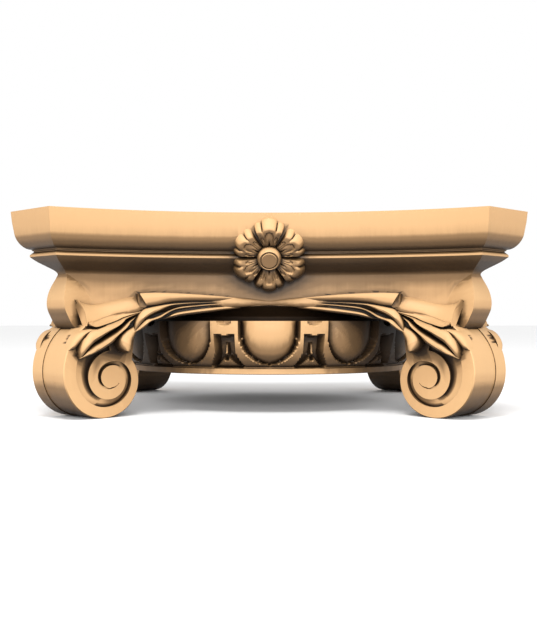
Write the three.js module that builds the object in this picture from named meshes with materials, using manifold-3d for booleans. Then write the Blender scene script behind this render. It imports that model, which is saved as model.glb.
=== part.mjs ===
// Angular Ionic column capital, carved from one block, in millimetres with +Z up.
// The origin is the centre of the flat bed that sits on the column shaft.
// Four like sides meet at the diagonals, where a lobe hangs under each abacus corner over a volute.
// Inside a side, x runs along it from its middle and z runs up; the side's outward way is -Y.
import * as THREE from 'three';
import { mergeVertices } from 'three/addons/utils/BufferGeometryUtils.js';
import Module from 'manifold-3d';

const wasm = await Module();
wasm.setup();

// Heights above the bed
const ABACUS_TOP = 128;
const NECK_HEIGHT = 80.1;
const WALL_FOOT = 56.2;
const ECHINUS_TOP = 43.5;
const LOBE_FOOT = 33;

// Abacus plan: square with hollowed sides and cut corners
const ABACUS_WIDTH = 400;
const HORN_WIDTH = 54.2;
const SIDE_HOLLOW = 43.8;

// Abacus profile, as how far each height stands in from the top edge
const OVOLO_START = 18;
const OVOLO_DROP = 11.6;
const OVOLO_INSET = 12.3;
const FACE_BATTER = 2.4;
const QUIRK_INSET = 13.8;
const QUIRK_HEIGHT = 1.6;
const FILLET_INSET = 11.5;
const FILLET_HEIGHT = 4.6;
const NECK_INSET = 28.6;

// Echinus: the carved ring of eggs and darts
const EGG_COUNT = 12;
const ECHINUS_TOP_RADIUS = 141;
const ECHINUS_FOOT_RADIUS = 125;
const BED_RADIUS = 128;
const BED_BAND = 5.6;
const FRAME_DEPTH = 11;
const EGG_SINK = 1;
const DART_DEPTH = 9;
const BELL_RADIUS = 104;

// Volutes, in the upright plane of each diagonal; the eye is set in from the abacus corner
const VOLUTE_WIDTH = 44.3;
const EYE_INSET = 61.2;
const EYE_HEIGHT = -0.4;
const CHANNEL_DEPTH = 6;
// Spiral radii about the eye, one for each quarter turn, going outward, down, inward and up
const BAND_OUTER = [48.6, 45, 30.9, 24.7, 21, 23.3, 16.7, 11.7, 9.3, 11.4, 8.3];
const BAND_INNER = [38.5, 34, 22.2, 17.2, 12.5, 14.6, 8.6];

// Lobes: the rolls between the abacus corners and the volutes, set in from the abacus corner
const LOBE_WIDTH = 24.8;
const LOBE_INSET = 22.9;

// Leaves and canalis on each half side, reaching past the eye and hanging from the wall's foot
const LEAF_PAST_EYE = 12;
const LEAF_DROP = 42;
const LEAF_RISE = 9;
const CANALIS_WIDTH = 20;
const CANALIS_RISE = 6;

// Rosettes, set in from the middle of each side's top edge
const ROSETTE_RADIUS = 31.4;
const ROSETTE_HEIGHT = 96.5;
const ROSETTE_INSET = 14;
const ROSETTE_TILT = THREE.MathUtils.degToRad(27);
const ROSETTE_RISE = 11;
const ROSETTE_SINK = 10;
const BOSS_RADIUS = 8.9;
const BOSS_RISE = 13.5;

const SIDES = 4;
const QUARTER = Math.PI / 2;

// Closed solid from rings of equally many points, each ring joined to the next
function loft(rings) {
  const count = rings[0].length;
  const positions = rings.flat().flatMap((p) => [p.x, p.y, p.z]);
  const index = [];
  for (let r = 0; r < rings.length - 1; r++) {
    for (let i = 0; i < count; i++) {
      const a = r * count + i;
      const b = r * count + ((i + 1) % count);
      index.push(a, b, b + count, a, b + count, a + count);
    }
  }
  const last = (rings.length - 1) * count;
  for (const [a, b, c] of capTriangles(rings[0])) index.push(c, b, a);
  for (const [a, b, c] of capTriangles(rings.at(-1))) index.push(last + a, last + b, last + c);
  return toSolid(positions, index);
}

// Triangles across one flat ring, seen along its own normal
function capTriangles(ring) {
  const normal = new THREE.Vector3();
  ring.forEach((p, i) => normal.add(new THREE.Vector3().crossVectors(p, ring[(i + 1) % ring.length])));
  normal.normalize();
  const across = new THREE.Vector3(0, 0, 1);
  if (Math.abs(normal.z) > 0.9) across.set(1, 0, 0);
  const u = new THREE.Vector3().crossVectors(across, normal).normalize();
  const v = new THREE.Vector3().crossVectors(normal, u);
  return THREE.ShapeUtils.triangulateShape(ring.map((p) => new THREE.Vector2(p.dot(u), p.dot(v))), []);
}

function toSolid(positions, index) {
  let geometry = new THREE.BufferGeometry();
  geometry.setAttribute('position', new THREE.Float32BufferAttribute(positions, 3));
  geometry.setIndex(index);
  geometry = mergeVertices(geometry, 1e-4);
  const mesh = new wasm.Mesh({
    numProp: 3,
    vertProperties: new Float32Array(geometry.attributes.position.array),
    triVerts: new Uint32Array(geometry.index.array),
  });
  const solid = new wasm.Manifold(mesh);
  return solid.volume() < 0 ? toSolid(positions, index.toReversed()) : solid;
}

function fromGeometry(source) {
  const geometry = source.clone();
  geometry.deleteAttribute('normal');
  geometry.deleteAttribute('uv');
  const merged = mergeVertices(geometry, 1e-4);
  return toSolid([...merged.attributes.position.array], [...merged.index.array]);
}

function joined(solids) {
  return solids.reduce((sum, next) => sum.add(next));
}

function aroundSides(solid) {
  return joined(Array.from({ length: SIDES }, (_, i) => solid.rotate([0, 0, i * 90])));
}

// Value at t in a list of [t, value] steps, joined by straight lines
function along(steps, t) {
  if (t <= steps[0][0]) return steps[0][1];
  for (let i = 1; i < steps.length; i++) {
    const [t0, v0] = steps[i - 1];
    const [t1, v1] = steps[i];
    if (t <= t1) return THREE.MathUtils.lerp(v0, v1, (t - t0) / (t1 - t0));
  }
  return steps.at(-1)[1];
}

// Plan of the abacus at an inset from its top edge
const halfWidth = ABACUS_WIDTH / 2;
const hornCorner = halfWidth - HORN_WIDTH / Math.SQRT2;
const hornReach = (halfWidth + hornCorner) / Math.SQRT2;
const hollowRadius = (hornCorner ** 2 + SIDE_HOLLOW ** 2) / (2 * SIDE_HOLLOW);
const hollowCentre = halfWidth - SIDE_HOLLOW + hollowRadius;
const eyeOut = hornReach - EYE_INSET;

function cornerAlong(inset) {
  const k = hollowCentre - Math.SQRT2 * (hornReach - inset);
  return (Math.sqrt(2 * (hollowRadius + inset) ** 2 - k * k) - k) / 2;
}

function sideDepth(x, inset) {
  return hollowCentre - Math.sqrt((hollowRadius + inset) ** 2 - x * x);
}

function plan(inset, z, steps) {
  const corner = cornerAlong(inset);
  const ring = [];
  for (let side = 0; side < SIDES; side++) {
    for (let i = 0; i <= steps; i++) {
      const x = corner * (2 * i / steps - 1);
      const point = new THREE.Vector3(x, -sideDepth(x, inset), z);
      ring.push(point.applyAxisAngle(new THREE.Vector3(0, 0, 1), side * QUARTER));
    }
  }
  return ring;
}

// Abacus: upright face with a slight batter, ovolo, quirk, fillet, raked soffit, then the neck wall
function abacus() {
  const faceFoot = ABACUS_TOP - OVOLO_START;
  const ovoloFoot = faceFoot - OVOLO_DROP;
  const quirk = ovoloFoot - QUIRK_HEIGHT;
  const filletTop = quirk - QUIRK_HEIGHT;
  const filletFoot = quirk - FILLET_HEIGHT;
  const profile = [[ABACUS_TOP, 0], [faceFoot, FACE_BATTER]];
  const ovoloSteps = 3;
  for (let i = 1; i <= ovoloSteps; i++) {
    const turn = (i / ovoloSteps) * QUARTER;
    profile.push([
      faceFoot - OVOLO_DROP * Math.sin(turn),
      FACE_BATTER + (OVOLO_INSET - FACE_BATTER) * (1 - Math.cos(turn)),
    ]);
  }
  profile.push([quirk, QUIRK_INSET], [filletTop, FILLET_INSET], [filletFoot, FILLET_INSET]);
  profile.push([NECK_HEIGHT, NECK_INSET]);
  return loft(profile.map(([z, inset]) => plan(inset, z, 8)).reverse());
}

// The face that carries the canalis and the leaves: the neck wall, which runs on into the side of
// the lobe above its foot and into the side of the volute below it
const BLEND = 6;

function reliefDepth(x, z) {
  const wall = sideDepth(x, NECK_INSET);
  const low = THREE.MathUtils.smoothstep(-z, -WALL_FOOT, -LOBE_FOOT);
  const corner = Math.abs(x) + THREE.MathUtils.lerp(LOBE_WIDTH, VOLUTE_WIDTH, low) / Math.SQRT2;
  const apart = Math.abs(wall - corner);
  const swell = apart < BLEND ? (BLEND - apart) ** 2 / (4 * BLEND) : 0;
  return Math.max(wall, corner) + swell;
}

function onSide(x, z, rise) {
  const slope = (reliefDepth(x + 0.5, z) - reliefDepth(x - 0.5, z));
  const scale = rise / Math.hypot(1, slope);
  return new THREE.Vector3(x - slope * scale, -reliefDepth(x, z) - scale, z);
}

// Neck: upright walls under the soffit, solid to the middle, each foot arched over the middle eggs
// The arch is given as shares of the way to the corner and of the wall's foot over the echinus
const ARCH = [[0, 1], [0.21, 0.75], [0.4, 0.25], [0.57, 0.05], [0.64, -0.15], [0.7, -0.85], [0.74, -1.4], [0.97, -1.4]];
const LAP = 2;

function neckWall() {
  const corner = cornerAlong(NECK_INSET);
  const stations = [...ARCH.map(([share]) => share), 1];
  const rings = [...stations.slice(1).map((share) => -share).reverse(), ...stations].map((share) => {
    const x = share * corner;
    const foot = THREE.MathUtils.lerp(ECHINUS_TOP, WALL_FOOT, along(ARCH, Math.abs(share)));
    const front = -sideDepth(x, NECK_INSET);
    const back = Math.max(front, -Math.abs(x)) + LAP;
    return [
      new THREE.Vector3(x, front, foot),
      new THREE.Vector3(x, front, NECK_HEIGHT + LAP),
      new THREE.Vector3(x, back, NECK_HEIGHT + LAP),
      new THREE.Vector3(x, back, foot + LAP),
    ];
  });
  return loft(rings);
}

// Blade: a leaf lobe with a raised back, along a spine of [x, z, half width, rise]
function blade(spine, sink, edge = -1.5) {
  const rings = spine.map(([x, z, half, rise], i) => {
    const [x0, z0] = spine[Math.max(i - 1, 0)];
    const [x1, z1] = spine[Math.min(i + 1, spine.length - 1)];
    const length = Math.hypot(x1 - x0, z1 - z0);
    const side = [-(z1 - z0) / length, (x1 - x0) / length];
    const at = (share, height) => onSide(x + side[0] * half * share, z + side[1] * half * share, height);
    return [at(-1, edge), at(0, edge + rise), at(1, edge), at(0, -sink)];
  });
  return loft(rings);
}

// Spines of the leaf's lobes, as shares of its reach, its drop, its drop and its rise
const LEAF = {
  stem: [[-0.01, 0.04, 0.04, 0.1], [0.27, 0.02, 0.15, 0.4], [0.52, -0.03, 0.25, 0.65], [0.69, 0.02, 0.19, 0.65]],
  thin: [[0.63, -0.05, 0.07, 0.8], [0.93, -0.39, 0.03, 0.65]],
  large: [[0.63, -0.1, 0.07, 0.8], [0.78, -0.34, 0.11, 1], [0.92, -0.6, 0.13, 0.9], [1, -0.72, 0.04, 0.35]],
  third: [[0.64, -0.17, 0.07, 0.65], [0.76, -0.48, 0.1, 0.9], [0.88, -0.8, 0.11, 0.8], [0.93, -0.96, 0.04, 0.35]],
  droop: [[0.67, -0.31, 0.07, 0.55], [0.74, -0.5, 0.11, 0.9], [0.78, -0.74, 0.12, 1], [0.76, -0.93, 0.05, 0.35]],
  point: [[0.56, -0.17, 0.1, 0.8], [0.65, -0.29, 0.1, 1], [0.73, -0.52, 0.02, 0.45]],
};
// The roll behind the leaf, as shares of the leaf's reach and drop and of the roll's width
const CANALIS = [[0.6, 0, 0.42], [0.79, -0.12, 0.48], [0.96, -0.15, 0.52]];

function leaves() {
  const reach = eyeOut / Math.SQRT2 + LEAF_PAST_EYE;
  const spine = (shares, width, rise) => shares.map(([x, z, half, lift]) => (
    [x * reach, WALL_FOOT + z * LEAF_DROP, half * width, lift * rise]));
  const roll = blade(spine(CANALIS.map((share) => [...share, 1]), CANALIS_WIDTH, CANALIS_RISE), CANALIS_RISE + 4, -3);
  const lobes = Object.values(LEAF).map((shares) => blade(spine(shares, LEAF_DROP, LEAF_RISE), 3));
  const half = joined([roll, ...lobes]);
  return half.add(half.mirror([1, 0, 0]));
}

// Echinus: eggs in U-shaped frames with a dart between each two, cut flat on top
const MODULE = (2 * Math.PI) / EGG_COUNT;

function echinusRadius(z) {
  const t = THREE.MathUtils.clamp((z - BED_BAND) / (ECHINUS_TOP - BED_BAND), 0, 1);
  return ECHINUS_FOOT_RADIUS + (ECHINUS_TOP_RADIUS - ECHINUS_FOOT_RADIUS) * Math.sqrt(t * (2 - t));
}

// Across half a module, as shares of it: the egg's edge, its frame's two edges, then the dart
const EGG_EDGE = 0.56;
const FRAME_IN = 0.66;
const FRAME_OUT = 0.9;

// How deep the carving lies under the frames' face, with the frame closing into a U below
function eggDepth(share, z) {
  const rise = (z - BED_BAND) / (ECHINUS_TOP - BED_BAND);
  const opening = Math.sqrt(THREE.MathUtils.clamp((rise - 0.06) * 2.6, 0, 1));
  if (share >= FRAME_OUT + 0.05) return rise > 0.2 && rise < 0.74 ? DART_DEPTH : 0;
  if (share >= FRAME_IN * opening) return 0;
  return EGG_SINK + (FRAME_DEPTH - EGG_SINK) * (share / (EGG_EDGE * opening)) ** 2;
}

function echinus() {
  const shares = [0, EGG_EDGE / 2, EGG_EDGE, FRAME_IN, FRAME_OUT, 1];
  const columns = [...shares.slice(1, -1).map((s) => -s).reverse(), ...shares];
  const heights = [0.09, 0.3, 0.54, 1].map((share) => THREE.MathUtils.lerp(BED_BAND, ECHINUS_TOP, share));
  const ring = (radiusAt, z) => {
    const points = [];
    for (let egg = 0; egg < EGG_COUNT; egg++) {
      for (const share of columns) {
        const angle = egg * MODULE + (share * MODULE) / 2;
        const radius = radiusAt(Math.abs(share));
        points.push(new THREE.Vector3(radius * Math.sin(angle), -radius * Math.cos(angle), z));
      }
    }
    return points;
  };
  const rings = [ring(() => BED_RADIUS, 0), ring(() => BED_RADIUS, BED_BAND)];
  for (const z of heights) rings.push(ring((share) => echinusRadius(z) - eggDepth(share, z), z));
  return loft(rings);
}

function bell() {
  const points = [[0, BED_BAND], [BELL_RADIUS, BED_BAND], [BELL_RADIUS, WALL_FOOT + LAP], [0, WALL_FOOT + LAP]];
  return fromGeometry(new THREE.LatheGeometry(points.map(([r, z]) => new THREE.Vector2(r, z)), 16).rotateX(QUARTER));
}

// Radius of a spiral after some quarter turns from straight up
function spiral(radii, quarters) {
  const i = Math.min(Math.floor(quarters), radii.length - 2);
  const f = quarters - i;
  const [a, b, c, d] = [radii[Math.max(i - 1, 0)], radii[i], radii[i + 1], radii[Math.min(i + 2, radii.length - 1)]];
  return b + 0.5 * f * (c - a + f * (2 * a - 5 * b + 4 * c - d + f * (3 * (b - c) + d - a)));
}

// The spiral starts over the eye's outer shoulder
const SPIRAL_START = 0.35;

function spiralPoint(radii, quarters) {
  const angle = QUARTER * (1 - quarters);
  const radius = spiral(radii, quarters);
  return new THREE.Vector2(eyeOut + radius * Math.cos(angle), EYE_HEIGHT + radius * Math.sin(angle));
}

function spiralRun(radii, from, to, step) {
  const count = Math.max(1, Math.round(Math.abs(to - from) / step));
  return Array.from({ length: count + 1 }, (_, i) => spiralPoint(radii, from + ((to - from) * i) / count));
}

// Slab in the diagonal plane: an outline of (way out, height), as thick as given
function diagonalSlab(outline, width) {
  const shape = new THREE.Shape(outline);
  const geometry = new THREE.ExtrudeGeometry(shape, { depth: width, bevelEnabled: false });
  geometry.translate(0, 0, -width / 2);
  geometry.rotateX(QUARTER);
  return fromGeometry(geometry).rotate([0, 0, 45]);
}

function volute() {
  const turn = 3.4;
  const shoulder = spiralPoint(BAND_OUTER, turn).setY(EYE_HEIGHT + BAND_INNER[1]);
  const disc = [...spiralRun(BAND_OUTER, SPIRAL_START, turn, 0.2), shoulder];
  const bandEnd = BAND_INNER.length - 1;
  const band = [
    ...spiralRun(BAND_OUTER, SPIRAL_START, SPIRAL_START + 7, 0.2),
    ...spiralRun(BAND_INNER, bandEnd - 0.4, SPIRAL_START, 0.3),
  ];
  return joined([
    diagonalSlab(disc, VOLUTE_WIDTH - 2 * CHANNEL_DEPTH),
    diagonalSlab(band, VOLUTE_WIDTH),
  ]);
}

// Lobe: as wide as the cut corner at the neck, swelling down to its full width
// Its profile is given as shares of its height from the curl's foot, and as how far it stands in
const LOBE_PROFILE = [
  [0, 18.9], [0.05, 11.4], [0.11, 7.4], [0.21, 4.6], [0.33, 1.4], [0.46, 0], [0.58, 0.3], [0.73, 1.8], [0.87, 4.5], [1, 6.3],
];
const lobeNeck = hornReach - NECK_INSET - cornerAlong(NECK_INSET) * Math.SQRT2;

function lobe() {
  const rings = LOBE_PROFILE.map(([share, inset]) => {
    const z = THREE.MathUtils.lerp(LOBE_FOOT, NECK_HEIGHT + 1, share);
    const swell = THREE.MathUtils.clamp((1 - share) / 0.45, 0, 1);
    const half = THREE.MathUtils.lerp(lobeNeck, LOBE_WIDTH / 2, Math.sqrt(swell));
    const reach = hornReach - LOBE_INSET - inset;
    const root = eyeOut - BAND_OUTER[3];
    return [[root, -half], [reach, -half], [reach, half], [root, half]]
      .map(([s, t]) => new THREE.Vector3(s, t, z));
  });
  return loft(rings).rotate([0, 0, 45]);
}

// Corner block behind the leaves, clear over the echinus and down to the volute and the lobe
function cornerBlock() {
  const width = VOLUTE_WIDTH - 2 * CHANNEL_DEPTH;
  const inner = BELL_RADIUS - LAP;
  const foot = EYE_HEIGHT + BAND_OUTER[3];
  const front = hornReach - LOBE_INSET - LAP;
  const outline = [
    [inner, ECHINUS_TOP], [eyeOut - BAND_INNER[1], ECHINUS_TOP], [eyeOut - BAND_OUTER[3], foot], [eyeOut, foot - LAP],
    [front, LOBE_FOOT + LAP], [front, WALL_FOOT + LAP], [inner, WALL_FOOT + LAP],
  ];
  return diagonalSlab(outline.map(([s, z]) => new THREE.Vector2(s, z)), width);
}

// Rosette: six petals of three lobes, rising then curling over, round a turned boss
const PETALS = 6;

function rosette() {
  const perPetal = 3;
  const count = PETALS * perPetal;
  const rows = [[0.3, 0.4], [0.72, 1], [0.96, 0.6]];
  const edge = [0.74, 1];
  const lift = [0.25, 1];
  const ring = (share, rise) => Array.from({ length: count }, (_, i) => {
    const step = i % perPetal === 0 ? 0 : 1;
    const angle = ((i / perPetal + 0.5) / PETALS) * 2 * Math.PI;
    const radius = ROSETTE_RADIUS * share * THREE.MathUtils.lerp(1, edge[step], share);
    return new THREE.Vector3(radius * Math.sin(angle), radius * Math.cos(angle), rise * ROSETTE_RISE * lift[step]);
  });
  const back = ring(0.8, 0).map((p) => new THREE.Vector3(p.x, p.y, -ROSETTE_SINK));
  const petals = loft([back, ...rows.toReversed().map(([share, rise]) => ring(share, rise))]);
  const round = BOSS_RADIUS / 4;
  const turned = [
    [0, -LAP], [BOSS_RADIUS, -LAP], [BOSS_RADIUS, BOSS_RISE - round], [BOSS_RADIUS - round, BOSS_RISE], [0, BOSS_RISE],
  ];
  const boss = fromGeometry(new THREE.LatheGeometry(turned.map(([r, z]) => new THREE.Vector2(r, z)), 10).rotateX(QUARTER));
  const tilt = THREE.MathUtils.radToDeg(QUARTER + ROSETTE_TILT);
  return petals.add(boss).rotate([tilt, 0, 0]).translate([0, ROSETTE_INSET - sideDepth(0, 0), ROSETTE_HEIGHT]);
}

function capitalSolid() {
  const side = joined([neckWall(), leaves(), rosette()]);
  const corner = joined([cornerBlock(), volute(), lobe()]);
  return joined([abacus(), bell(), echinus(), aroundSides(side), aroundSides(corner)]);
}

function toGeometry(solid) {
  const mesh = solid.getMesh();
  const geometry = new THREE.BufferGeometry();
  geometry.setAttribute('position', new THREE.Float32BufferAttribute(mesh.vertProperties, mesh.numProp));
  geometry.setIndex([...mesh.triVerts]);
  geometry.computeVertexNormals();
  return geometry;
}

const carvedWood = new THREE.MeshStandardMaterial({ color: 0xd9ad7c, roughness: 0.55, metalness: 0 });
const capital = new THREE.Mesh(toGeometry(capitalSolid()), carvedWood);
capital.name = 'capital';

const model = new THREE.Group();
model.add(capital);

export default model;
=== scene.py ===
import math

import bmesh
import bpy
import numpy as np
from mathutils import Matrix, Vector
from mathutils.bvhtree import BVHTree
from mathutils.kdtree import KDTree


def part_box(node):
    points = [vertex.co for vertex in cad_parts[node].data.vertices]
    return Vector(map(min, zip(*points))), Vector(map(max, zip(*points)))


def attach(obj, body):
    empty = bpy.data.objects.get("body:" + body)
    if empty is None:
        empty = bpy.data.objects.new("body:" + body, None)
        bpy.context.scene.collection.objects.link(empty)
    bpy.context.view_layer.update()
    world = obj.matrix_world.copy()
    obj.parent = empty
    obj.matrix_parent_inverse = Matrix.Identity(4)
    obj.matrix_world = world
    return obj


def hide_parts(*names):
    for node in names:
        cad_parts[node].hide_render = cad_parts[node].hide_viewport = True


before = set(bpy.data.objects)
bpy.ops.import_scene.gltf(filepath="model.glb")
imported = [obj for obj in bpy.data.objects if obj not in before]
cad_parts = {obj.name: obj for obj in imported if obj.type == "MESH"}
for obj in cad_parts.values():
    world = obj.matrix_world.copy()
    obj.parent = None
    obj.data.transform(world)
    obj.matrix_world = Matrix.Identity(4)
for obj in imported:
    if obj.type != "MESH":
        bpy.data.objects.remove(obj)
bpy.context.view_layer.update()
low = Vector(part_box("capital")[0])
MM = 0.001

# Camera, floor and light
# The photograph looks level along +Y at the front side, from a little over two abacus widths away,
# with the eye at the height of the echinus's flat top. The floor is pale and the light is soft.
EYE_LEVEL = 43.5 * MM
CAMERA_AWAY = 915 * MM
PHOTO_WIDTH, PHOTO_HEIGHT = 537, 622
FOCAL_PIXELS = 974
HORIZON_ROW = 321.0
AXIS_COLUMN = 269.2

lens = bpy.data.cameras.new("view")
lens.sensor_width = 36
lens.lens = FOCAL_PIXELS / PHOTO_HEIGHT * lens.sensor_width
lens.shift_x = -(AXIS_COLUMN - PHOTO_WIDTH / 2) / PHOTO_HEIGHT
lens.shift_y = (HORIZON_ROW - PHOTO_HEIGHT / 2) / PHOTO_HEIGHT
camera = bpy.data.objects.new("view", lens)
camera.location = (0, -CAMERA_AWAY, EYE_LEVEL)
camera.rotation_euler = (math.pi / 2, 0, 0)
bpy.context.collection.objects.link(camera)
bpy.context.scene.camera = camera
bpy.context.scene.view_settings.view_transform = "Standard"

bpy.ops.object.select_all(action="DESELECT")
bpy.ops.mesh.primitive_plane_add(size=30, location=(0, 0, low.z))
floor = bpy.context.object
floor.name = "floor"


def plain_surface(name, colour, roughness):
    material = bpy.data.materials.new(name)
    material.use_nodes = True
    shader = material.node_tree.nodes["Principled BSDF"]
    shader.inputs["Base Color"].default_value = (*colour, 1)
    shader.inputs["Roughness"].default_value = roughness
    return material


floor.data.materials.append(plain_surface("pale_floor", (0.9, 0.9, 0.9), 0.9))

world = bpy.data.worlds.new("studio")
bpy.context.scene.world = world
world.use_nodes = True
world.node_tree.nodes["Background"].inputs["Color"].default_value = (1, 1, 1, 1)
world.node_tree.nodes["Background"].inputs["Strength"].default_value = 1.0


def soft_lamp(name, place, aim, size, power):
    lamp = bpy.data.lights.new(name, "AREA")
    lamp.shape = "DISK"
    lamp.size = size
    lamp.energy = power
    holder = bpy.data.objects.new(name, lamp)
    holder.location = place
    holder.rotation_euler = (Vector(aim) - Vector(place)).to_track_quat("-Z", "Y").to_euler()
    bpy.context.collection.objects.link(holder)


soft_lamp("key", place=(-0.12, -0.95, 1.45), aim=(0, 0, 0.05), size=0.7, power=20)
soft_lamp("front", place=(0.05, -1.9, 0.42), aim=(0, 0, 0.04), size=0.7, power=26)

# The block and its joining
# The whole capital is cut from one block of pale, close-grained wood. Every carved form is made as a
# closed body overlapping the next, and all are joined to one skin at the end.
carved = []
SIDES = 4
QUARTER = math.pi / 2


def body(name, points, faces):
    """A closed mesh object in the frame's metres, from points in millimetres."""
    mesh = bpy.data.meshes.new(name)
    mesh.from_pydata([tuple(MM * c for c in p) for p in points], [], faces)
    work = bmesh.new()
    work.from_mesh(mesh)
    bmesh.ops.remove_doubles(work, verts=work.verts, dist=2e-7)
    bmesh.ops.recalc_face_normals(work, faces=work.faces)
    work.to_mesh(mesh)
    work.free()
    made = bpy.data.objects.new(name, mesh)
    bpy.context.collection.objects.link(made)
    return made


def loft(name, rings):
    """A closed body through rings of equally many points, flat at both ends."""
    rings = [np.asarray(ring, float) for ring in rings]
    count = len(rings[0])
    faces = [tuple(range(count))[::-1], tuple(range((len(rings) - 1) * count, len(rings) * count))]
    for r in range(len(rings) - 1):
        for i in range(count):
            a, b = r * count + i, r * count + (i + 1) % count
            faces.append((a, b, b + count, a + count))
    return body(name, np.concatenate(rings), faces)


def around(made, mirror=False):
    """Adds a form to the carving on every side, each copy with its own mesh."""
    for flip in (1, -1) if mirror else (1,):
        for side in range(SIDES):
            turned = made.copy()
            turned.data = made.data.copy()
            turned.data.transform(Matrix.Rotation(side * QUARTER, 4, "Z") @ Matrix.Diagonal((flip, 1, 1, 1)))
            if flip < 0:
                turned.data.flip_normals()
            bpy.context.collection.objects.link(turned)
            carved.append(turned)
    bpy.data.objects.remove(made)


def curve_through(points, count):
    """Evenly many points on a smooth curve through a few given ones."""
    p = np.asarray(points, float)
    ends = [2 * p[0] - p[1], *p, 2 * p[-1] - p[-2]]
    out = []
    for t in np.linspace(0, len(p) - 1, count):
        i = min(int(t), len(p) - 2)
        f = t - i
        a, b, c, d = ends[i:i + 4]
        out.append(b + 0.5 * f * (c - a + f * (2 * a - 5 * b + 4 * c - d + f * (3 * (b - c) + d - a))))
    return np.array(out)


# Abacus
# The square top slab, its sides hollowed in plan and its corners cut. It is worked with planes and
# scrapers to one profile all round: upright face, ovolo, quirk, fillet and raked soffit.
ABACUS_TOP = 128.0
ABACUS_HALF = 200.0
HORN_CORNER = 161.7
SIDE_HOLLOW = 43.8
NECK_INSET = 28.6
NECK_HEIGHT = 80.1
HORN_REACH = (ABACUS_HALF + HORN_CORNER) / math.sqrt(2)
HOLLOW_RADIUS = (HORN_CORNER ** 2 + SIDE_HOLLOW ** 2) / (2 * SIDE_HOLLOW)
HOLLOW_CENTRE = ABACUS_HALF - SIDE_HOLLOW + HOLLOW_RADIUS


def corner_along(inset):
    k = HOLLOW_CENTRE - math.sqrt(2) * (HORN_REACH - inset)
    return (math.sqrt(2 * (HOLLOW_RADIUS + inset) ** 2 - k * k) - k) / 2


def side_depth(x, inset):
    return HOLLOW_CENTRE - math.sqrt((HOLLOW_RADIUS + inset) ** 2 - x * x)


def turned_by(point, side):
    c, s = math.cos(side * QUARTER), math.sin(side * QUARTER)
    x, y, z = point
    return (c * x - s * y, s * x + c * y, z)


def plan(inset, z, steps=40):
    corner = corner_along(inset)
    xs = [corner * (2 * i / steps - 1) for i in range(steps + 1)]
    return [turned_by((x, -side_depth(x, inset), z), side) for side in range(SIDES) for x in xs]


# the profile's parts, as (height, inset)
FACE_FOOT = (110, 2.3)
OVOLO_DROP, OVOLO_INSET, OVOLO_STEPS = 11.4, 10.2, 8
QUIRK_AND_FILLET = [(98.2, 12.9), (97.7, 12.9), (97.4, 13.9), (96.8, 13.9), (95.2, 12.2), (94.6, 11.6),
                    (93.1, 11.5)]
SOFFIT = [(92.7, 11.9), (89.4, 15.9), (86.2, 21), (83.1, 26), (81.1, 28.1), (NECK_HEIGHT, NECK_INSET)]


def abacus_profile():
    """(height, inset) from the top edge down to the neck."""
    face_foot, face_inset = FACE_FOOT
    rows = [(ABACUS_TOP, 0), (ABACUS_TOP - 8, 0.75), FACE_FOOT]
    for i in range(1, OVOLO_STEPS + 1):
        turn = i / OVOLO_STEPS * QUARTER
        sweep = 0.75 * (1 - math.cos(turn)) + 0.25 * math.sin(turn)
        rows.append((face_foot - OVOLO_DROP * math.sin(turn), face_inset + OVOLO_INSET * sweep))
    return rows + QUIRK_AND_FILLET + [tuple(row) for row in curve_through(SOFFIT, 14)]


carved.append(loft("abacus", [plan(inset, z) for z, inset in abacus_profile()]))

# Neck walls
# Under the soffit each side has an upright wall, and its foot is cut to a flat arch that clears the
# middle eggs. The wall runs into the lobes at the corners.
ARCH = [(0, 56.5), (16, 55.4), (29, 53.7), (42, 52), (55, 50.4), (67, 48.8), (79, 46.4), (89, 44.7),
        (96, 43), (103, 38), (109, 33), (114, 26), (120, 24), (140, 24), (145, 56), (170, 56)]
WALL_COLUMNS = 51
WALL_ROWS = 14
COVE_DEPTH = 26
COVE_RISE = 9


def neck_wall():
    corner = corner_along(NECK_INSET)
    xs = np.linspace(-corner, corner, WALL_COLUMNS)
    feet = np.array(ARCH)
    rings = []
    for x in xs:
        foot = np.interp(abs(x), feet[:, 0], feet[:, 1])
        front = -side_depth(x, NECK_INSET)
        back = max(front, -abs(x)) + 2
        face = [(x, front, z) for z in np.linspace(foot, NECK_HEIGHT + 2, WALL_ROWS)]
        cove = [(x, front + 3 + COVE_DEPTH * math.sin(a), foot + 1 + COVE_RISE * (1 - math.cos(a)))
                for a in np.linspace(QUARTER, 0, 8)]
        cove = [(x, min(y, back - 0.5), z) for x, y, z in cove]
        rings.append(face + [(x, back, NECK_HEIGHT + 2), (x, back, foot + 12)] + cove)
    return loft("wall", rings)


around(neck_wall())

# Echinus
# The ring of twelve eggs in U-shaped frames, with a dart in the recess between each two, over a plain
# band on the bed. It is turned first, then cut in with gouges; its top is cut flat.
EGG_COUNT = 12
ECHINUS_TOP = 43.5
ECHINUS_TOP_RADIUS = 141.0
ECHINUS_FOOT_RADIUS = 124.5
BED_RADIUS = 128.0
BED_BAND = 5.6
MODULE = 2 * math.pi / EGG_COUNT
RING_RADIUS = 133
EGG_FOOT = 8.8
EGG_HEIGHT = 26
EGG_OPENING = 22.9
CREVICE_DEPTH = 13.0
SLOT_HALF = 6.9
SLOT_FLARE = 7.2
BAR_FOOT = 32.4
RECESS_FOOT = 6.3
RECESS_DEPTH = 10.5
STEM_HALF = 0.9
DART_FLARE = 12.0
DROP_HALF = 1.5
DROP_HEIGHT = 13.2
NOTCH_RADIUS = 4.9
DRILLED_DEPTH = 8.0
# the plain band's edges, as (height, how far out from the bed's radius)
BAND_PROFILE = [(0.0, 0.0), (0.5, 0.3), (4.6, 0.3), (5.2, -0.8)]


def smooth_step(x, start, end):
    t = np.clip((x - start) / (end - start), 0, 1)
    return t * t * (3 - 2 * t)


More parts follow.
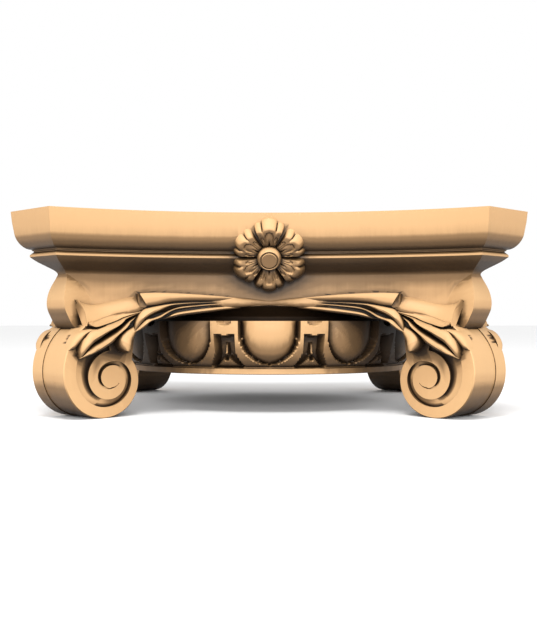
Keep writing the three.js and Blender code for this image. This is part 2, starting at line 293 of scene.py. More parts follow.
def echinus_radius(z):
    t = np.clip((z - BED_BAND) / (ECHINUS_TOP - BED_BAND), 0, 1)
    return ECHINUS_FOOT_RADIUS + (ECHINUS_TOP_RADIUS - ECHINUS_FOOT_RADIUS) * np.sqrt(t * (2 - t))


def gouged(field, step, depth):
    """Depth of a cut whose edge is where the field is nought and whose wall is steep but not ragged."""
    rise, run = np.gradient(field, *step)
    away = field / np.maximum(np.hypot(rise, run), 0.3)
    return depth * np.clip(0.5 + away / 1.3, 0, 1)


def echinus_carving(a, z, step):
    """How deep the carving lies under the frames' face.

    a is the way along the ring from an egg's middle and z the height, both in mm."""
    half = math.pi * RING_RADIUS / EGG_COUNT
    a = np.abs(a)
    from_dart = half - a
    # the egg fills the U of its frame, narrowing to a point at the foot
    rise = np.clip((z - EGG_FOOT) / EGG_HEIGHT, 0, 1)
    opening = EGG_OPENING * np.sqrt(1 - (1 - rise) ** 2.3)
    inside = np.clip(a / np.maximum(opening, 0.1), 0, 1)
    egg = 0.8 + 10.5 * (1 - np.sqrt(1 - inside ** 2.8)) + 3.0 * (1 - np.clip((z - EGG_FOOT) / 9, 0, 1)) ** 2
    crevice = CREVICE_DEPTH * smooth_step(inside, 0.9, 0.99)
    depth = gouged(np.where(z > EGG_FOOT, opening, 0.0) - a, step, np.maximum(egg, crevice))
    # the recess of the dart, under the bar that joins two frames
    slot = SLOT_HALF + SLOT_FLARE * np.clip((21 - z) / 14.7, 0, 1) ** 1.8
    bar_foot = BAR_FOOT - 1.0 * (1 - (from_dart / 7) ** 2)
    recess = np.minimum(np.minimum(slot - from_dart, bar_foot - z), z - RECESS_FOOT)
    sunk = gouged(recess, step, RECESS_DEPTH)
    # the dart itself: a thin stem that spreads to a wide foot
    spread = STEM_HALF + DART_FLARE * np.clip((18.5 - z) / 12, 0, 1) ** 1.7
    spear = np.where(z < 25, spread, STEM_HALF * np.clip((28 - z) / 3, 0, 1))
    ridge = gouged(spear - from_dart, step, 1.0) * (z < 28)
    crown = 1.5 + 3.0 * (from_dart / np.maximum(spear, 0.8)) ** 2 + 5.0 * np.clip((z - 15) / 12, 0, 1)
    sunk = np.where(recess > 0, sunk + (np.minimum(crown, sunk) - sunk) * ridge, sunk)
    depth = np.maximum(depth, sunk)
    # a drop drilled in the dart's foot
    drop = 1 - np.hypot(from_dart / DROP_HALF, (z - DROP_HEIGHT) / np.where(z > DROP_HEIGHT, 3.4, 1.8))
    depth = np.maximum(depth, gouged(drop * DROP_HALF, step, DRILLED_DEPTH))
    # half-round notch in the bar's top edge, and the fine line down the bar
    notch = NOTCH_RADIUS - np.hypot(from_dart, (ECHINUS_TOP - z) * 1.6)
    depth = np.maximum(depth, gouged(notch, step, DRILLED_DEPTH))
    depth = np.maximum(depth, np.where((z > bar_foot) & (from_dart < 0.5), 0.8, 0))
    return depth


def echinus():
    columns = 54
    heights = np.linspace(6.0, ECHINUS_TOP, 34)
    angles = (np.arange(EGG_COUNT * columns) + 0.5) / columns * MODULE
    along_ring = (np.mod(angles + MODULE / 2, MODULE) - MODULE / 2) * RING_RADIUS
    z, a = np.meshgrid(heights, along_ring, indexing="ij")
    # three eggs' worth is carved, and the middle third, whose slopes are true, is repeated round the ring
    span = slice(0, 3 * columns)
    step = (heights[1] - heights[0], math.pi * RING_RADIUS / EGG_COUNT * 2 / columns)
    one = echinus_carving(a[:, span], z[:, span], step)[:, columns:2 * columns]
    depth = np.tile(one, (1, EGG_COUNT))
    radius = echinus_radius(z) - depth
    rows = [(h, np.full(len(angles), BED_RADIUS + out)) for h, out in BAND_PROFILE]
    rows += list(zip(heights, radius))
    rings = [np.stack([r * np.sin(angles), -r * np.cos(angles), np.full_like(angles, h)], 1) for h, r in rows]
    return loft("echinus", rings)


carved.append(echinus())

# Bell
# The plain core behind the echinus, which the dark hollow over the eggs runs back to. It is
# upright behind the eggs and flares a little above them.
BELL_PROFILE = [(110, 1), (110, 40), (112, 47), (117, 52), (124, 55.5), (126, 60)]


def lathed(name, profile, sides):
    """A closed body turned round the Z axis, from (radius, height) rows."""
    turn = np.linspace(0, 2 * np.pi, sides + 1)[:-1]
    rings = [np.stack([r * np.cos(turn), r * np.sin(turn), np.full_like(turn, z)], 1) for r, z in profile]
    return loft(name, rings)


carved.append(lathed("bell", BELL_PROFILE, sides=96))

# Volutes
# One at each corner, a disc on edge in the diagonal plane. Each face is cut with a spiral channel that
# leaves a flat band, and the rim between the faces has a sunk panel.
VOLUTE_HALF = 22.15
EYE_OUT = 194.6
EYE_HEIGHT = -0.4
CHANNEL_DEPTH = 3.2
BAND_OUTER = [48.6, 45, 30.9, 24.7, 21, 23.3, 16.7, 11.7, 9.3, 11.4, 8.3, 6.5]
BAND_INNER = [38.5, 34, 22.2, 17.2, 12.5, 14.6, 8.6, 7.4]
SPIRAL_START = 0.35
SPIRAL_END = 6.55
DISC_END = 3.4
DISC_NECK = [(174, 31), (186, 36.5), (204, 41)]
RIM_EDGE = 0.7
FACE_RINGS = (RIM_EDGE, 5, 10, 15)
PANEL_HALF = 7.6
PANEL_DEPTH = 0.8
PANEL_START, PANEL_END = 0.3, 1.62
PANEL_SECTION = ((-PANEL_DEPTH, -PANEL_HALF), (-PANEL_DEPTH, PANEL_HALF), (3, PANEL_HALF), (3, -PANEL_HALF))


def spiral(radii, quarters):
    p = [radii[0], *radii, radii[-1]]
    i = min(int(quarters), len(radii) - 2)
    f = quarters - i
    a, b, c, d = p[i:i + 4]
    return b + 0.5 * f * (c - a + f * (2 * a - 5 * b + 4 * c - d + f * (3 * (b - c) + d - a)))


def on_diagonal(s, t, z):
    """A point s out along the front left diagonal, t towards the front side, at height z."""
    return ((t - s) / math.sqrt(2), -(s + t) / math.sqrt(2), z)


def spiral_point(radius, quarters):
    angle = QUARTER * (1 - quarters)
    return EYE_OUT + radius * math.cos(angle), EYE_HEIGHT + radius * math.sin(angle)


def volute_disc():
    outline = [spiral_point(spiral(BAND_OUTER, q), q) for q in np.linspace(SPIRAL_START, DISC_END, 90)]
    outline += DISC_NECK
    middle = Vector((EYE_OUT, EYE_HEIGHT))

    def ring(t, shrink):
        points = []
        for p in outline:
            out = (Vector(p) - middle).normalized() * shrink
            points.append(on_diagonal(p[0] - out.x, t, p[1] - out.y))
        return points

    face = [ring(VOLUTE_HALF, shrink) for shrink in FACE_RINGS]
    back = [ring(-VOLUTE_HALF, shrink) for shrink in FACE_RINGS[::-1]]
    rim = [ring(-VOLUTE_HALF + RIM_EDGE, 0), ring(VOLUTE_HALF - RIM_EDGE, 0)]
    return loft("volute", back + rim + face)


def volute_channel(face):
    """The body that the spiral gouge cuts away from one face."""
    turns = np.linspace(SPIRAL_START - 0.25, SPIRAL_END, 130)
    rings = []
    for q in turns:
        outer = spiral(BAND_INNER, max(q, 0.05))
        inner = spiral(BAND_OUTER, q + 4)
        if q > 5.8:
            inner = min(inner, outer - 0.05 - 1.5 * (SPIRAL_END - q))
        lean = 0.5 + 0.42 * math.cos(QUARTER * (1 - q) - math.pi / 4)
        depth = CHANNEL_DEPTH * min(1, (outer - inner) / 3 + 0.12)
        section = []
        for share, deep in ((0, depth * (1 - lean)), (0.5, depth * 0.56), (1, depth * lean)):
            s, z = spiral_point(outer + (inner - outer) * share, q)
            section.append(on_diagonal(s, face * (VOLUTE_HALF - deep), z))
        for share in (1, 0):
            s, z = spiral_point(outer + (inner - outer) * share, q)
            section.append(on_diagonal(s, face * (VOLUTE_HALF + 2), z))
        rings.append(section)
    return loft("channel", rings)


def rim_panel():
    """The sunk panel in the middle of the rim, square at its lower end."""
    rings = []
    for q in np.linspace(PANEL_START, PANEL_END, 60):
        rim = spiral(BAND_OUTER, q)
        ring = []
        for out, t in PANEL_SECTION:
            s, z = spiral_point(rim + out, q)
            ring.append(on_diagonal(s, t, z))
        rings.append(ring)
    return loft("panel", rings)


def cut(target, tool):
    modifier = target.modifiers.new("cut", "BOOLEAN")
    modifier.operation = "DIFFERENCE"
    modifier.solver = "MANIFOLD"
    modifier.object = tool
    bpy.ops.object.select_all(action="DESELECT")
    bpy.context.view_layer.objects.active = target
    target.select_set(True)
    bpy.ops.object.modifier_apply(modifier="cut")
    bpy.data.objects.remove(tool)


volute = volute_disc()
for face in (-1, 1):
    cut(volute, volute_channel(face))
cut(volute, rim_panel())
around(volute)

# Lobes
# A roll hangs under each cut corner of the abacus and curls in over the volute. It is as wide as the
# cut corner at the neck and swells to its full width below.
LOBE_HALF = 12.4
LOBE_NECK_HALF = 5.6
LOBE_SWELL = 24
LOBE_OUTLINE = [(203, 32.6), (213, 33.6), (220.5, 36), (226, 41), (229.5, 47), (232, 52), (232.9, 57.5),
                (232.2, 64), (230.4, 70), (228, 75.5), (226.6, NECK_HEIGHT), (226, NECK_HEIGHT + 3)]
LOBE_ROOT = 171


def lobe():
    rings = []
    for reach, z in curve_through(LOBE_OUTLINE, 40):
        swell = min(1, max(0, (NECK_HEIGHT - z) / LOBE_SWELL))
        half = LOBE_NECK_HALF + (LOBE_HALF - LOBE_NECK_HALF) * math.sin(swell * QUARTER) ** 0.8
        across = [LOBE_ROOT + (reach - LOBE_ROOT) * k / 14 for k in range(15)]
        far = [on_diagonal(s, -half, z) for s in across]
        rings.append(far + [on_diagonal(s, half, z) for s in across[::-1]])
    return loft("lobe", rings)


around(lobe())

# the plain wood behind the lobe and over the volute
CORNER_HALF = 11.5
CORNER_OUTLINE = [(90, 45), (158, 45), (166, 36), (172, 25), (194, 20), (205, 26), (214, 36), (222, 44),
                  (222, 58), (90, 58)]


def corner_block():
    sides = (-CORNER_HALF, CORNER_HALF)
    return loft("corner", [[on_diagonal(s, t, z) for s, z in CORNER_OUTLINE] for t in sides])


around(corner_block())

# Canalis and leaves
# On each half side a plain roll, the canalis, leads from behind the leaf to the lobe. Over it lies one
# long leaf of several lobes, which starts at the middle of the side and drapes onto the volute's face.
BLEND = 6.0


def relief_depth(x, z):
    x = abs(x)
    wall = side_depth(min(x, 300), NECK_INSET)
    low = float(smooth_step(-z, -54.0, -38.0))
    corner = x + (LOBE_HALF + (VOLUTE_HALF - LOBE_HALF) * low) * math.sqrt(2)
    apart = abs(wall - corner)
    swell = (BLEND - apart) ** 2 / (4 * BLEND) if apart < BLEND else 0
    return max(wall, corner) + swell


def on_side(x, z, rise):
    slope = relief_depth(x + 0.5, z) - relief_depth(x - 0.5, z)
    scale = rise / math.hypot(1, slope)
    return (x - slope * scale, -relief_depth(x, z) - scale, z)


def from_photo(column, row, rise=4.0):
    """(x, z) in mm on a side's carved face, where the photograph shows a point of the left half."""
    offset = AXIS_COLUMN - column
    x, z = offset * 0.8, 45.0
    for _ in range(25):
        away = CAMERA_AWAY / MM - relief_depth(x, z) - rise
        x = offset * away / FOCAL_PIXELS
        z = (HORIZON_ROW - row) * away / FOCAL_PIXELS + EYE_LEVEL / MM
    return x, z


def strip(name, upper, lower, edges, crown, sink, stations=28, across=10, power=0.36, lean=0.5):
    """A carved lobe between two edge curves given in the photograph, raised between them.

    edges and crown list (share of the length, rise): edges as (share, upper rise, lower rise)."""
    a = curve_through([from_photo(*p) for p in upper], stations)
    b = curve_through([from_photo(*p) for p in lower], stations)
    rings = []
    for i in range(stations):
        t = i / (stations - 1)
        top, foot = (np.interp(t, [e[0] for e in edges], [e[k] for e in edges]) for k in (1, 2))
        peak = np.interp(t, *zip(*crown))
        ring = []
        for j in range(across + 1):
            v = 0.5 - 0.5 * math.cos(math.pi * j / across)
            skew = v ** (math.log(0.5) / math.log(lean))
            x, z = a[i] + (b[i] - a[i]) * v
            edge = top + (foot - top) * v
            ring.append(on_side(x, z, edge + (peak - edge) * math.sin(math.pi * skew) ** power))
        for v in (1, 0):
            x, z = a[i] + (b[i] - a[i]) * v
            ring.append(on_side(x, z, -sink))
        rings.append(ring)
    return loft(name, rings)


# canalis roll, flared against the lobe's side
CANALIS_UPPER = [(200, 294.5), (170, 294.2), (150, 294.6), (133.6, 295.6), (122.8, 297.5), (107.5, 301.2),
                 (93.8, 303.8), (84.6, 303.4), (77.7, 301), (74.3, 299.6)]
CANALIS_LOWER = [(200, 309), (180, 311), (160, 314), (146, 317), (133, 320), (118, 323), (104, 325),
                 (94, 326), (88, 326.4), (84, 326.2)]
CANALIS_EDGES = [(0, -2, -2), (0.6, -1.5, -1), (0.85, 0, 0), (1, 4, 2.5)]
CANALIS_CROWN = [(0, 1), (0.4, 5.5), (0.85, 5.5), (1, 5.5)]

# stem, smooth where it parts from the wall at the middle of the side
STEM_UPPER = [(274, 301.2), (258, 299.4), (241, 297.6), (225, 296.4), (206, 295), (190, 294.4)]
STEM_LOWER = [(274, 304.9), (258, 305.3), (249, 306.3), (233, 308.3), (217, 310.4), (200, 312.6)]
STEM_EDGES = [(0, -0.6, -0.4), (0.3, 0.3, 0.5), (0.5, 0.6, 0.6), (0.8, -1.5, -1.5), (1, -4, -4)]
STEM_CROWN = [(0, 0), (0.3, 1.7), (0.52, 3.0), (0.64, 2.7), (0.8, 1.2), (1, -2)]

# upper margin, a broad face with a turned top edge, folded over at its end
MARGIN_UPPER = [(244, 298.2), (225, 296.4), (204.5, 294.7), (181.5, 293.3), (158.6, 292.5), (146, 292.7),
                (136.6, 293.4)]
MARGIN_LOWER = [(244, 300.2), (217, 300.8), (196.8, 301.1), (181.5, 301.5), (166.2, 303), (154.7, 304.9),
                (144.6, 305.9)]
MARGIN_EDGES = [(0, 0, 0), (0.2, 1.5, 2), (0.6, 4.5, 4), (1, 8.5, 8)]
MARGIN_CROWN = [(0, 0.5), (0.2, 3.8), (0.6, 7.6), (1, 10.5)]

FOLD_UPPER = [(145.5, 305.4), (143.6, 301.5), (141.2, 297.6), (138.8, 294.8), (136.6, 293.4)]
FOLD_LOWER = [(143, 308.2), (140.2, 309.6), (136.6, 309.4), (135.2, 302), (135.4, 293.6)]
FOLD_EDGES = [(0, 8, 4), (0.5, 9, 1), (1, 10, 4)]
FOLD_CROWN = [(0, 6.2), (0.5, 5.6), (1, 8.5)]

# first ridge, between the upper two grooves, which opens into the pointed lobe
FIRST_RIDGE_UPPER = [(238, 301.2), (222, 301.5), (209, 301.9), (196.8, 302.3), (181.5, 302.9),
                     (166.2, 304.2), (150.9, 306.7), (143.3, 308.6), (137.9, 312.8), (134.1, 319),
                     (131.8, 325.8), (131.2, 332)]
FIRST_RIDGE_LOWER = [(238, 302.4), (222, 302.3), (209, 302.6), (196.8, 303.1), (181.5, 304.3), (172, 305.6),
                     (164, 309.2), (156, 313), (149, 316.2), (143.4, 319), (137, 326), (131.5, 332.3)]
FIRST_RIDGE_EDGES = [(0, 0, 0), (0.15, 1, 1), (0.35, 2.5, 2.5), (0.6, 5.5, 3), (0.75, 7.5, 3),
                     (0.85, 7.5, 8), (1, 6, 6.5)]
FIRST_RIDGE_CROWN = [(0, 0.5), (0.15, 3.2), (0.35, 5.6), (0.6, 9.5), (0.8, 11.5), (1, 7.5)]

# second ridge, whose lower edge runs free to the lobe's point
SECOND_RIDGE_UPPER = [(238, 303), (222, 303.4), (209, 304), (196.8, 305), (181.5, 306.4), (173.9, 308.1),
                      (166.2, 311), (158.6, 315), (150.9, 317.9), (143.4, 319.6), (137, 326),
                      (131.4, 332.2)]
SECOND_RIDGE_LOWER = [(238, 304.4), (222, 304.8), (209, 305.6), (189.2, 307.7), (177.7, 309.4),
                      (170, 311.7), (164.3, 315), (158, 319), (147.9, 322.4), (144.6, 326.4),
                      (138.5, 330.4), (131.7, 332.9)]
SECOND_RIDGE_EDGES = [(0, 0, 0), (0.15, 1, 1), (0.35, 2.5, 2.5), (0.7, 3, 3), (0.85, 8, 5), (1, 6.5, 5.5)]
SECOND_RIDGE_CROWN = [(0, 0.5), (0.15, 3.2), (0.35, 5.4), (0.6, 8.5), (0.8, 11), (1, 7)]

# lowest strip, along the arch of the wall's foot
LOWEST_UPPER = [(240, 305.4), (224, 306.5), (212, 307.5), (196.8, 309.2), (181.5, 311.3), (174, 312.7),
                (168.5, 315), (162.8, 318.4)]
LOWEST_LOWER = [(240, 308), (224, 310.2), (212, 311.9), (196.8, 313.7), (181.5, 315.6), (173.9, 317.2),
                (167, 318.4), (162.4, 319.2)]
LOWEST_EDGES = [(0, 0, 0), (0.2, 1, 0.4), (0.4, 2, 1), (1, 2, 1)]
LOWEST_CROWN = [(0, 0.5), (0.2, 3.2), (0.4, 4.6), (0.8, 6), (1, 3)]

# thin upper lobe over the canalis: a shallow trough with a raised lower rim
THIN_LOBE_UPPER = [(141, 310.2), (133.6, 311.2), (122.8, 311.9), (111.4, 314.2), (99.9, 317.2), (92.2, 320),
                   (86.9, 322.2), (84.8, 324.6)]
THIN_LOBE_LOWER = [(141, 311.5), (130.5, 314.4), (122.8, 316.6), (111.4, 320.4), (99.9, 323.8),
                   (93.8, 325.7), (88.4, 326.9), (85.2, 325.8)]
THIN_LOBE_EDGES = [(0, 4, 5), (0.3, 5.5, 7.5), (0.8, 7, 9.5), (1, 7, 8)]
THIN_LOBE_CROWN = [(0, 4), (0.3, 5), (0.8, 6.2), (1, 7.5)]

# large lobe, upper ridge, running down to the main point
LARGE_LOBE_UPPER = [(139.5, 311.8), (130.5, 315.2), (122.8, 317.6), (111.4, 321.6), (99.9, 325.3),
                    (92.2, 328), (84.6, 331.4), (80.4, 336), (77, 342.7), (75.4, 351.1), (76.4, 358.4)]
LARGE_LOBE_LOWER = [(138, 312.6), (127.4, 317.2), (121, 321), (111.4, 327.2), (99.9, 334.6), (92.2, 340.4),
                    (86.9, 344.3), (82.3, 348.2), (79.2, 352), (77.4, 355.8), (76.6, 358.5)]
LARGE_LOBE_EDGES = [(0, 5, 4), (0.3, 5, 2.5), (0.6, 6, 2.5), (0.75, 6, 6.5), (0.9, 4, 6), (1, 3, 3)]
LARGE_LOBE_CROWN = [(0, 7), (0.3, 11.5), (0.7, 11), (0.85, 8), (1, 3.6)]

# its upper point, parted by a slit
TIP_UPPER = [(92, 327.6), (84.6, 329.4), (79.2, 330.8), (74.4, 334), (70.4, 339.2), (68, 345.2),
             (67.2, 350.2)]
TIP_LOWER = [(89, 331.2), (84.2, 332.9), (80.8, 336.4), (77.4, 341), (74, 345.6), (70.8, 349),
             (67.6, 350.8)]
TIP_EDGES = [(0, 4, 4), (0.4, 1.5, 3.5), (0.8, 0, 2.5), (1, 0, 0.4)]
TIP_CROWN = [(0, 7), (0.4, 6.5), (0.8, 4.2), (1, 0.8)]

# third lobe, whose lower edge runs free
THIRD_LOBE_UPPER = [(136, 315.2), (127.4, 320), (121, 324.2), (111.4, 330.6), (99.9, 337.8), (92.2, 342.9),
                    (87.3, 345.4), (82.3, 350.2), (79, 354.4), (76.5, 358.4)]
THIRD_LOBE_LOWER = [(134, 317.6), (129, 323), (123.6, 328), (117.5, 332.2), (112.9, 336.6), (108.6, 341.6),
                    (101, 347.2), (92.2, 352), (82, 356.8), (76.3, 359)]
THIRD_LOBE_EDGES = [(0, 4, 4), (0.3, 2.5, 3), (0.7, 2.5, 4), (0.8, 6, 4), (1, 3, 3)]
THIRD_LOBE_CROWN = [(0, 6), (0.3, 10), (0.7, 10), (0.85, 8.5), (1, 3.6)]

# drooping round lobe, under the pointed one
DROOPING_LOBE_UPPER = [(139.5, 319), (132.6, 325.6), (127.4, 328.4), (122.6, 330.2), (118, 333),
                       (114.4, 337.3), (112.9, 341.6), (113.8, 346.8), (117.2, 351), (121.6, 353)]
DROOPING_LOBE_LOWER = [(141, 324), (138, 329.6), (134.6, 333), (132.4, 337), (130, 341), (128.8, 344.6),
                       (128.6, 348.2), (127.6, 351.2), (125.4, 352.9), (123.2, 353.4)]
DROOPING_LOBE_EDGES = [(0, 2, 2), (0.3, 4, 3), (0.8, 4, 4), (1, 1.5, 1.5)]
DROOPING_LOBE_CROWN = [(0, 5), (0.3, 9), (0.6, 11.5), (0.85, 10.5), (1, 3)]


def leaf_half():
    yield strip("canalis", CANALIS_UPPER, CANALIS_LOWER, CANALIS_EDGES, CANALIS_CROWN,
                sink=3, stations=30, across=10, power=0.6)
    yield strip("stem", STEM_UPPER, STEM_LOWER, STEM_EDGES, STEM_CROWN,
                sink=6, stations=24, across=10, power=0.5)
    yield strip("margin", MARGIN_UPPER, MARGIN_LOWER, MARGIN_EDGES, MARGIN_CROWN,
                sink=5, stations=24, across=10, power=0.4, lean=0.36)
    yield strip("fold", FOLD_UPPER, FOLD_LOWER, FOLD_EDGES, FOLD_CROWN,
                sink=5, stations=14, across=6, power=1.0, lean=0.5)
    yield strip("ridge1", FIRST_RIDGE_UPPER, FIRST_RIDGE_LOWER, FIRST_RIDGE_EDGES, FIRST_RIDGE_CROWN,
                sink=6, stations=34, across=9)
    yield strip("ridge2", SECOND_RIDGE_UPPER, SECOND_RIDGE_LOWER, SECOND_RIDGE_EDGES, SECOND_RIDGE_CROWN,
                sink=6, stations=34, across=9)
    yield strip("under", LOWEST_UPPER, LOWEST_LOWER, LOWEST_EDGES, LOWEST_CROWN,
                sink=6, stations=22, across=8, power=0.45, lean=0.45)
    yield strip("thin", THIN_LOBE_UPPER, THIN_LOBE_LOWER, THIN_LOBE_EDGES, THIN_LOBE_CROWN,
                sink=7, stations=22, across=8, power=0.6, lean=0.42)
    yield strip("large", LARGE_LOBE_UPPER, LARGE_LOBE_LOWER, LARGE_LOBE_EDGES, LARGE_LOBE_CROWN,
                sink=8, stations=32, across=9)
    yield strip("tip", TIP_UPPER, TIP_LOWER, TIP_EDGES, TIP_CROWN,
                sink=5, stations=20, across=8)
    yield strip("third", THIRD_LOBE_UPPER, THIRD_LOBE_LOWER, THIRD_LOBE_EDGES, THIRD_LOBE_CROWN,
                sink=8, stations=32, across=9)
    yield strip("droop", DROOPING_LOBE_UPPER, DROOPING_LOBE_LOWER, DROOPING_LOBE_EDGES, DROOPING_LOBE_CROWN,
                sink=8, stations=26, across=10)


for part in list(leaf_half()):
    around(part, mirror=True)

# Rosettes
# One on the middle of each side, leaning with the receding profile. Six petals of three lobes each rise
# and curl over, round a turned boss with a ring and a flat button.
ROSETTE_RADIUS = 31.4
ROSETTE_CENTRE = (0, -142.2, 96.5)
ROSETTE_TILT = math.radians(27)
PETALS = 6
ROSETTE_BACK = ((0.99, -1.5), (0.93, -3), (0.8, -9))
BOSS_PROFILE = [(9.3, -2), (9.6, 9), (9.3, 11.4), (8.4, 12.9), (7.6, 13.4), (7.0, 13.2), (6.8, 12.2),
                (6.3, 12.2), (6.1, 13.5), (5.8, 13.8)]


def petal_edge(a):
    """Outline radius share at an angle from the petal's middle, in degrees."""
    middle = 1.0 - 0.35 * (a / 30) ** 2
    side = 0.93 - 0.5 * ((a - 18.5) / 22) ** 2
    return np.where(a < 12, middle, np.minimum(side, 0.945))


def petal_height(a, r):
    """Rise of a petal over the rosette's plane at an angle from its middle and a share of the radius."""
    u = np.clip((r - 0.27) / 0.73, 0, 1)
    droop = 7.6 * np.clip((u - 0.66) / 0.34, 0, 1) ** 2.2
    arch = 7.4 + 3.4 * np.sin(np.clip(u / 0.75, 0, 1) * np.pi / 2) - droop
    crown = 0.76 + 0.24 * np.cos(np.clip(a / 30, 0, 1) * np.pi / 2) ** 0.5
    height = arch * crown * (1 - 0.85 * smooth_step(a, 25, 30))
    # valleys that part the three lobes near the rim
    valley = 1.7 * np.exp(-((a - 12.5) / 2.0) ** 2) * smooth_step(u, 0.5, 0.95)
    # the hollow under a crescent line on each lobe, and the short midrib groove
    line = 0.60 - 0.10 * (a / 9) ** 2
    hollow = 1.3 * smooth_step(u, line - 0.4, line) * (1 - smooth_step(u, line - 0.02, line + 0.03))
    hollow *= a < 10
    side_line = 0.48 - 0.12 * ((a - 18.5) / 5) ** 2
    eye = 1.2 * smooth_step(u, side_line - 0.3, side_line)
    eye *= 1 - smooth_step(u, side_line - 0.02, side_line + 0.03)
    hollow += eye * (np.abs(a - 18.5) < 5)
    rib = 2.8 * np.exp(-(a / 2.4) ** 2) * np.clip(1 - u / 0.32, 0, 1)
    return height - valley - hollow - rib


def rosette():
    columns, rows = 16, 21
    angles = np.arange(PETALS * columns * 2) / (columns * 2) * 60
    off = np.abs(np.mod(angles + 30, 60) - 30)
    edge = petal_edge(off)
    turn = np.radians(angles)
    rings = []
    for share in np.linspace(0.2, 1, rows):
        radius = ROSETTE_RADIUS * share * (1 + (edge - 1) * share ** 0.7)
        rise = petal_height(off, share * np.ones_like(off))
        rings.append(np.stack([radius * np.sin(turn), radius * np.cos(turn), rise], 1))
    for share, rise in ROSETTE_BACK:
        radius = ROSETTE_RADIUS * share * edge
        rings.append(np.stack([radius * np.sin(turn), radius * np.cos(turn), np.full_like(turn, rise)], 1))
    made = loft("rosette", rings)
    place_rosette(made)
    return made


def place_rosette(made):
    lean = Matrix.Rotation(math.pi / 2 + ROSETTE_TILT, 4, "X")
    made.data.transform(Matrix.Translation(Vector(ROSETTE_CENTRE) * MM) @ lean)


def boss():
    made = lathed("boss", BOSS_PROFILE, sides=64)
    place_rosette(made)
    return made


around(rosette())
around(boss())

# The finished carving
# All forms are joined to one closed skin. An edge that turns by more than the crisp angle is shaded
# sharp, and the rest smooth.
CRISP_ANGLE = math.radians(26)


def united(parts):
    whole = parts[0]
    others = bpy.data.collections.new("others")
    bpy.context.scene.collection.children.link(others)
    for part in parts[1:]:
        others.objects.link(part)
    modifier = whole.modifiers.new("join", "BOOLEAN")
    modifier.operation = "UNION"
    modifier.solver = "MANIFOLD"
    modifier.operand_type = "COLLECTION"
    modifier.collection = others
    bpy.ops.object.select_all(action="DESELECT")
    bpy.context.view_layer.objects.active = whole
    whole.select_set(True)
    bpy.ops.object.modifier_apply(modifier="join")
    for part in parts[1:]:
        bpy.data.objects.remove(part)
    bpy.data.collections.remove(others)
    return whole


capital = united(carved)
capital.name = "carved_capital"
bpy.ops.object.shade_smooth_by_angle(angle=CRISP_ANGLE)

# Wood
# Pale, close-grained wood with upright grain, waxed to a soft sheen. Light and shade are painted into its
# colour: faces open to light from above are painted light, and the quirks, grooves and undersides painted
# dark.
RAYS = 72
# how far a ray looks and how far off the face it starts, in metres
REACH = 0.085
START_OFF = 0.0012
# the most of its light that a ray still brings when it meets wood
GLOW = 0.25
# the wood's colour at each openness, from painted deep shade in the hollows to painted light on open faces
PAINTED_SHADE_WOOD_TONES = [(0.04, (0.010, 0.005, 0.002)), (0.25, (0.020, 0.0105, 0.0042)), (0.43, (0.075, 0.042, 0.0175)),
              (0.62, (0.165, 0.094, 0.041)), (0.80, (0.42, 0.25, 0.116)), (0.94, (0.48, 0.293, 0.139))]


def folded(points, ways):
    """Points and directions brought to one eighth of the capital, whose eight parts mirror each other."""
    x, y = points[:, 0], points[:, 1]
    facing = np.argmax([-y, x, y, -x], axis=0)
    flip = np.sign(np.choose(facing, [x, y, -x, -y]) + 1e-12)
    turned = []
    for v in (points, ways):
        x, y, z = v.T
        along, out = np.choose(facing, [x, y, -x, -y]), np.choose(facing, [-y, x, y, -x])
        turned.append(np.stack([-along * flip, -out, z], 1))
    return turned


def skylight(ways):
    """How much light comes from each way: most from above, a little from below."""
    return np.clip(0.3 + 0.9 * ways[:, 2], 0.1, 1)


def painted_shade_openness(piece):
    """Sets how open each face is, at its corners, to light from above and around, for the painted light and
    shade.

    A face of an open upright wall has 1."""
    mesh = piece.data
    places, normals = np.empty(len(mesh.vertices) * 3), np.empty(len(mesh.loops) * 3)
    corner_of = np.empty(len(mesh.loops), int)
    mesh.vertices.foreach_get("co", places)
    mesh.corner_normals.foreach_get("vector", normals)
    mesh.loops.foreach_get("vertex_index", corner_of)
    places, normals = places.reshape(-1, 3), normals.reshape(-1, 3)
    pairs = np.concatenate([corner_of[:, None], np.round(normals * 12).astype(int)], 1)
    _, first, where = np.unique(pairs, axis=0, return_index=True, return_inverse=True)
    points, ways = folded(places[corner_of[first]], normals[first])
    tree = BVHTree.FromPolygons(places.tolist(), [tuple(p.vertices) for p in mesh.polygons])
    own = np.nonzero(np.all(np.abs(points - places[corner_of[first]]) < 1e-9, axis=1))[0]
    i = np.arange(RAYS) + 0.5
    lift, turn = np.sqrt(1 - i / RAYS), i * math.pi * (1 + math.sqrt(5))
    flat = np.sqrt(1 - lift ** 2)
    fan = np.stack([flat * np.cos(turn), flat * np.sin(turn), lift], 1)
    open_wall = skylight(fan[:, [2, 0, 1]]).mean()
    found = np.zeros(len(own))
    near = KDTree(len(own))
    for k, v in enumerate(own):
        n = ways[v]
        side = np.cross(n, (0.36, 0.48, 0.8))
        side /= np.linalg.norm(side)
        around_normal = fan @ np.array([side, np.cross(n, side), n])
        start = Vector(points[v] + n * START_OFF)
        weight = skylight(around_normal)
        seen = 0.0
        for way, share in zip(around_normal.tolist(), weight.tolist()):
            hit = tree.ray_cast(start, way, REACH)[3]
            seen += share if hit is None else share * GLOW * hit / REACH
        found[k] = seen / RAYS / open_wall
        near.insert(points[v], k)
    near.balance()
    values = np.empty(len(first))
    for k, (point, way) in enumerate(zip(points.tolist(), ways)):
        close = near.find_n(point, 5)
        values[k] = found[max(close, key=lambda c: ways[own[c[1]]] @ way - 3000 * c[2])[1]]
    # the openness is kept on the corners, and the wood's colour turns it into painted light and shade
    mesh.attributes.new("painted_shade_openness", "FLOAT", "CORNER").data.foreach_set("value", values[where.ravel()])


# the openness that paints light and shade into the wood's colour
painted_shade_openness(capital)


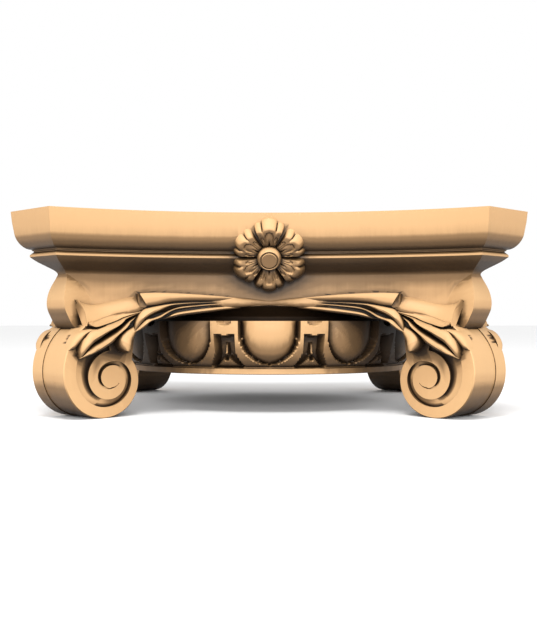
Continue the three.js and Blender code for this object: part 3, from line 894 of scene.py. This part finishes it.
class Wire:
    """A number in a material's node graph that takes part in Python sums."""

    def __init__(self, graph, socket):
        self.graph, self.socket = graph, socket

    def sum(self, operation, other=None, turned=False):
        node = self.graph.nodes.new("ShaderNodeMath")
        node.operation = operation
        for place, value in enumerate([other, self] if turned else [self, other]):
            if isinstance(value, Wire):
                self.graph.links.new(value.socket, node.inputs[place])
            elif value is not None:
                node.inputs[place].default_value = value
        return Wire(self.graph, node.outputs[0])

    def __add__(self, other):
        return self.sum("ADD", other)

    def __sub__(self, other):
        return self.sum("SUBTRACT", other)

    def __mul__(self, other):
        return self.sum("MULTIPLY", other)

    def __rsub__(self, other):
        return self.sum("SUBTRACT", other, turned=True)

    __radd__, __rmul__ = __add__, __mul__


class Finish:
    """A material under construction, with one method that adds any node."""

    def __init__(self, name):
        self.material = bpy.data.materials.new(name)
        self.material.use_nodes = True
        self.graph = self.material.node_tree
        self.shader = self.graph.nodes["Principled BSDF"]

    def add(self, kind, settings=None, inputs=None, output=0):
        node = self.graph.nodes.new("ShaderNode" + kind)
        for name, value in (settings or {}).items():
            setattr(node, name, value)
        for name, value in (inputs or {}).items():
            if isinstance(value, Wire):
                self.graph.links.new(value.socket, node.inputs[name])
            else:
                node.inputs[name].default_value = value
        return Wire(self.graph, node.outputs[output])

    def into(self, name, value):
        if isinstance(value, Wire):
            self.graph.links.new(value.socket, self.shader.inputs[name])
        else:
            self.shader.inputs[name].default_value = value


def carved_wood():
    wood = Finish("carved_wood")
    place = wood.add("TexCoord", output=3)
    along_grain = wood.add("Mapping", {"vector_type": "POINT"}, {"Vector": place, "Scale": (1, 1, 0.045)})
    fine = {"Vector": along_grain, "Scale": 420, "Detail": 3, "Roughness": 0.6}
    streaks = wood.add("TexNoise", inputs=fine)
    bands = wood.add("TexNoise", inputs={"Vector": along_grain, "Scale": 70, "Detail": 2, "Roughness": 0.5})
    cloud = wood.add("TexNoise", inputs={"Vector": place, "Scale": 9, "Detail": 3})
    # painted light and shade: the more open a face is to light from above, the lighter its colour
    openness_for_painted_shade = wood.add("Attribute", {"attribute_name": "painted_shade_openness"}, output=2)
    # the painted shade and the grain together pick the colour
    painted_shade_and_grain = openness_for_painted_shade * 0.9 + (streaks - 0.5) * 0.035 + (bands - 0.5) * 0.04 + (cloud - 0.5) * 0.04
    colour = wood.graph.nodes.new("ShaderNodeValToRGB")
    colour.color_ramp.interpolation = "EASE"
    for index, (at, shade) in enumerate(PAINTED_SHADE_WOOD_TONES):
        stop = colour.color_ramp.elements[index] if index < 2 else colour.color_ramp.elements.new(at)
        stop.position = at
        stop.color = (*shade, 1)
    wood.graph.links.new(painted_shade_and_grain.socket, colour.inputs["Fac"])
    wood.into("Base Color", Wire(wood.graph, colour.outputs["Color"]))
    wood.into("Roughness", 0.52 - (streaks - 0.5) * 0.12 - (cloud - 0.5) * 0.1)
    grain = {"Height": streaks * 0.6 + bands * 0.4, "Strength": 0.12, "Distance": 0.0004}
    wood.into("Normal", wood.add("Bump", inputs=grain))
    wood.into("Specular IOR Level", 0.22)
    return wood.material


capital.data.materials.clear()
capital.data.materials.append(carved_wood())
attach(capital, "root")
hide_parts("capital")
